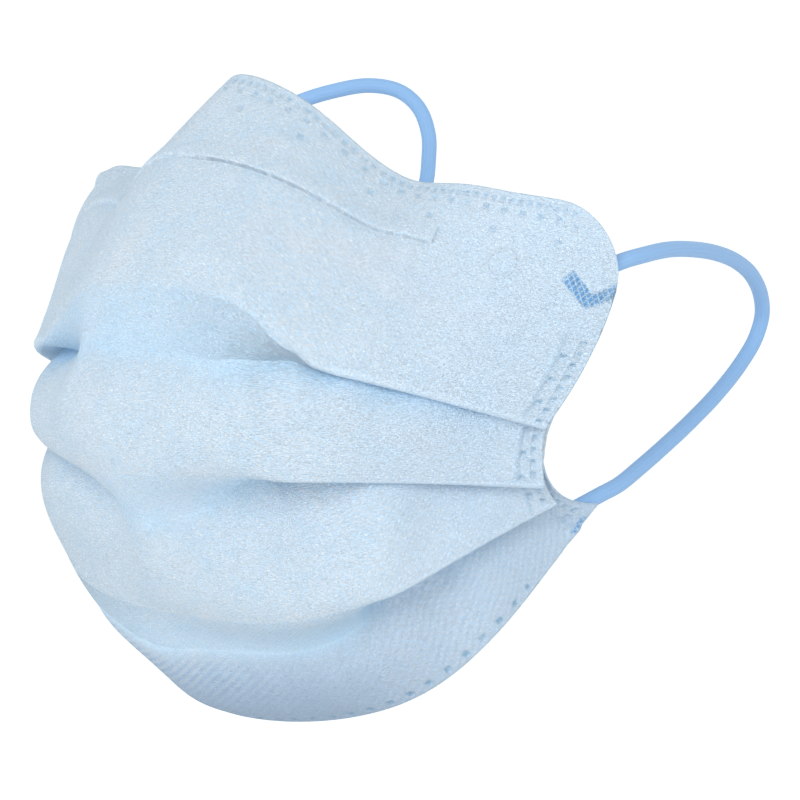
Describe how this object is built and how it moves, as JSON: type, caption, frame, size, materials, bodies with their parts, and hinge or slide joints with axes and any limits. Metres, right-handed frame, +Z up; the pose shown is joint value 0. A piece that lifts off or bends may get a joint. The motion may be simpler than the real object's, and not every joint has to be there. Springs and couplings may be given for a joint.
{
  "type": "disposable face mask",
  "caption": "Pleated disposable face mask of nonwoven cloth in its worn shape, with a bent nose wire and round elastic ear loops welded to its corners.",
  "frame": {"origin": "bridge of the nose: the inner side of the mask at the middle of the nose wire", "axes": "+X to the wearer's left, +Y from the mask towards the face, +Z up"},
  "size_m": [0.136, 0.1482, 0.1273],
  "materials": {
    "cloth": "pale blue spunbond nonwoven, matte with glossy bond points",
    "nose_wire": "white plastic-coated wire under the cloth",
    "elastic": "blue knitted elastic, matte"
  },
  "bodies": {
    "root": {"mask_body": "cloth", "nose_wire": "nose_wire", "ear_loop_left": "elastic", "ear_loop_right": "elastic", "loop_weld_left_top": "elastic", "loop_weld_left_bottom": "elastic", "loop_weld_right_top": "elastic", "loop_weld_right_bottom": "elastic"}
  },
  "joints": []
}
